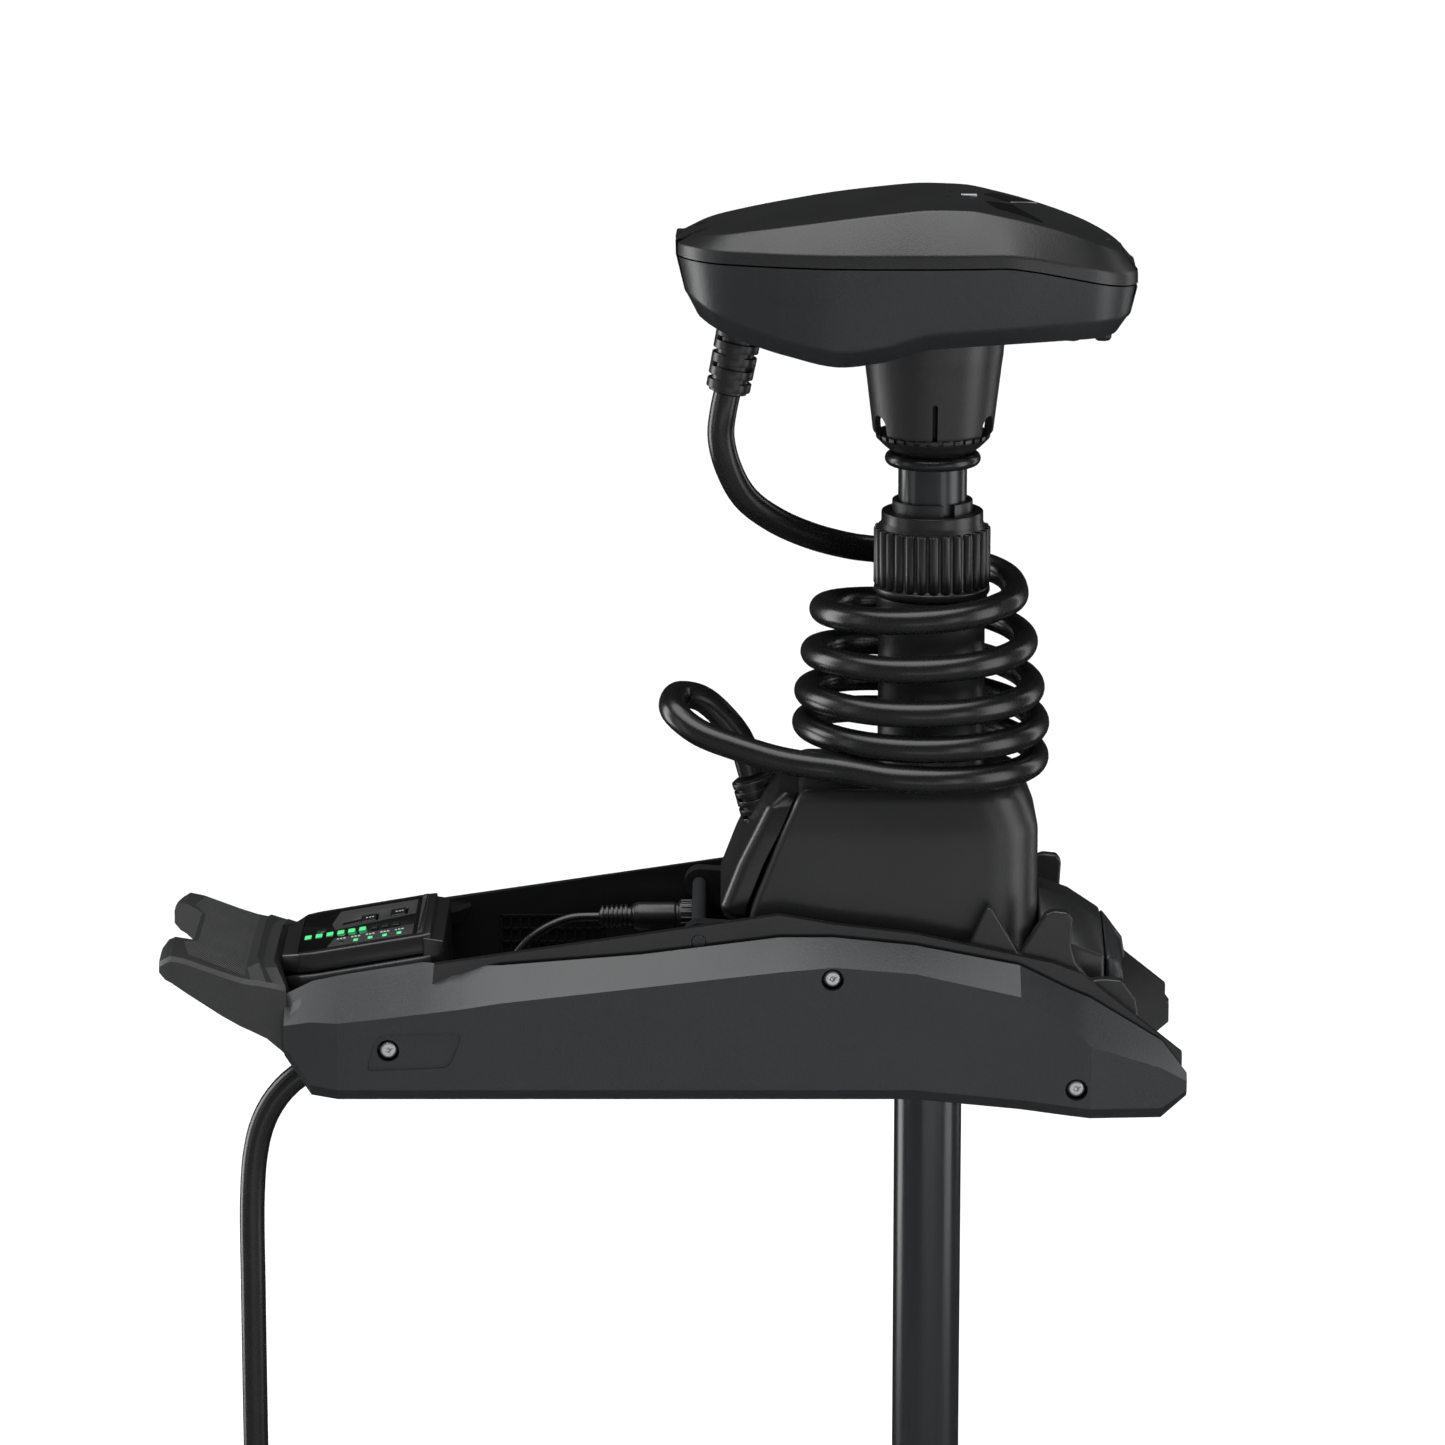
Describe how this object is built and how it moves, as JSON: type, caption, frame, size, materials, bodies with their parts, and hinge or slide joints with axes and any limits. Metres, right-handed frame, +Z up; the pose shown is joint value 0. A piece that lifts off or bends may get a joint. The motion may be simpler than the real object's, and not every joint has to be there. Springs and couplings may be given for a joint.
{
  "type": "trolling motor",
  "caption": "Electric bow-mount trolling motor with a folding deck mount, foot pedal, status display, geared steering, coiled cord, sliding shaft, control head and propeller.",
  "frame": {"origin": "on the deck plane under the base plate, midway between the rails", "axes": "+X towards the bow, +Y to port, +Z up along the deployed shaft"},
  "size_m": [0.643, 0.21, 1.546],
  "materials": {
    "black_plastic": "fine-grained moulded black plastic",
    "charcoal_panel": "smooth satin charcoal moulding",
    "cord_rubber": "satin black rubber",
    "bright_steel": "bright stainless steel",
    "shaft_composite": "satin dark grey composite",
    "display_gloss": "gloss black window with matte grey fields",
    "painted_aluminium": "black powder coat",
    "bronze": "plain machined bronze",
    "circuit_green": "solder-masked board",
    "iron_core": "varnished iron core with copper winding",
    "lamp_green": "lit green light pipe",
    "mark_white": "white printed symbol"
  },
  "bodies": {
    "mount": {"base_plate": "painted_aluminium", "frame_rail_port": "black_plastic", "frame_rail_starboard": "black_plastic", "side_panel_port": "charcoal_panel", "side_panel_starboard": "charcoal_panel", "panel_bolt_rear_port": "bright_steel", "panel_bolt_rear_starboard": "bright_steel", "panel_bolt_middle_port": "bright_steel", "panel_bolt_middle_starboard": "bright_steel", "panel_bolt_front_port": "bright_steel", "panel_bolt_front_starboard": "bright_steel", "motor_rest_port": "black_plastic", "motor_rest_starboard": "black_plastic", "display_console": "black_plastic", "display_lens": "display_gloss", "tilt_pivot_pin": "painted_aluminium", "pedal_pivot_pin": "painted_aluminium", "cable_connector": "cord_rubber", "connector_cable": "cord_rubber", "power_cord_gland": "cord_rubber", "power_cord": "cord_rubber", "power_plug": "cord_rubber"},
    "housing": {"housing_shell": "black_plastic", "housing_rear_cover": "black_plastic", "housing_nose": "black_plastic", "steering_tube": "black_plastic", "upper_bearing": "bronze", "lower_bearing": "bronze", "steering_gear_plate": "painted_aluminium", "steering_motor": "bright_steel", "coil_gland": "cord_rubber", "coil_cord_loop": "cord_rubber", "coil_cord_coil": "cord_rubber"},
    "sleeve": {"steering_sleeve": "painted_aluminium", "steering_gear": "bronze"},
    "pinion": {"steering_pinion": "bright_steel"},
    "shaft": {"shaft_tube": "shaft_composite", "head_base": "charcoal_panel", "head_cover": "black_plastic", "head_neck": "black_plastic", "neck_lock_ring": "cord_rubber", "shaft_o_ring": "cord_rubber", "head_circuit_board": "circuit_green", "head_gland": "cord_rubber", "coil_cord_lead": "cord_rubber", "motor_housing": "painted_aluminium", "motor_nose_cone": "black_plastic", "motor_tail_cap": "painted_aluminium", "motor_stator": "iron_core", "skeg_fin": "black_plastic"},
    "propeller": {"motor_rotor": "iron_core", "propeller": "black_plastic", "prop_nut": "bright_steel"},
    "collet": {"depth_collet": "black_plastic"},
    "collar_nut": {"depth_collar_nut": "cord_rubber"},
    "pedal": {"pedal_frame": "black_plastic", "pedal_pad": "cord_rubber"},
    "latch_rod": {"latch_rod": "bright_steel"},
    "power_button": {"power_button": "black_plastic"},
    "mode_button": {"mode_button": "black_plastic"}
  },
  "joints": [
    {"name": "stow_tilt", "type": "hinge", "parent": "mount", "child": "housing", "pos_m": [0.036, 0, 0.097], "axis": [0, -1, 0], "range_deg": [0, 90]},
    {"name": "steer", "type": "hinge", "parent": "housing", "child": "sleeve", "pos_m": [0.182, 0, 0.2], "axis": [0, 0, 1], "range_deg": [-180, 180], "deforming": ["coil_cord_coil"]},
    {"name": "pinion_spin", "type": "hinge", "parent": "housing", "child": "pinion", "pos_m": [0.132, 0, 0.066], "axis": [0, 0, 1], "range_deg": [-720, 720]},
    {"name": "shaft_lift", "type": "slide", "parent": "sleeve", "child": "shaft", "axis": [0, 0, 1], "range_m": [0, 0.45], "deforming": ["coil_cord_coil"]},
    {"name": "prop_spin", "type": "hinge", "parent": "shaft", "child": "propeller", "pos_m": [0.044, 0, -0.85], "axis": [1, 0, 0], "continuous": true},
    {"name": "collar_height", "type": "slide", "parent": "shaft", "child": "collet", "axis": [0, 0, 1], "range_m": [0, 0.02]},
    {"name": "collar_turn", "type": "hinge", "parent": "collet", "child": "collar_nut", "pos_m": [0.182, 0, 0.325], "axis": [0, 0, 1], "range_deg": [0, 60]},
    {"name": "pedal_press", "type": "hinge", "parent": "mount", "child": "pedal", "pos_m": [-0.205, 0, 0.03], "axis": [0, -1, 0], "range_deg": [0, 12], "stiffness_Nm_per_rad": 4, "springref_deg": -20.05},
    {"name": "latch_slide", "type": "slide", "parent": "mount", "child": "latch_rod", "axis": [1, 0, 0], "range_m": [0, 0.004]},
    {"name": "power_button_press", "type": "slide", "parent": "mount", "child": "power_button", "axis": [0.1668, 0, -0.986], "range_m": [0, 0.0008], "stiffness_N_per_m": 400, "springref_m": -0.0015},
    {"name": "mode_button_press", "type": "slide", "parent": "mount", "child": "mode_button", "axis": [0.1668, 0, -0.986], "range_m": [0, 0.0008], "stiffness_N_per_m": 400, "springref_m": -0.0015}
  ],
  "couplings": [
    {"joint": "pinion_spin", "follows": "steer", "ratio": -4},
    {"joint": "latch_slide", "follows": "pedal_press", "m_per_rad": 0.017}
  ]
}
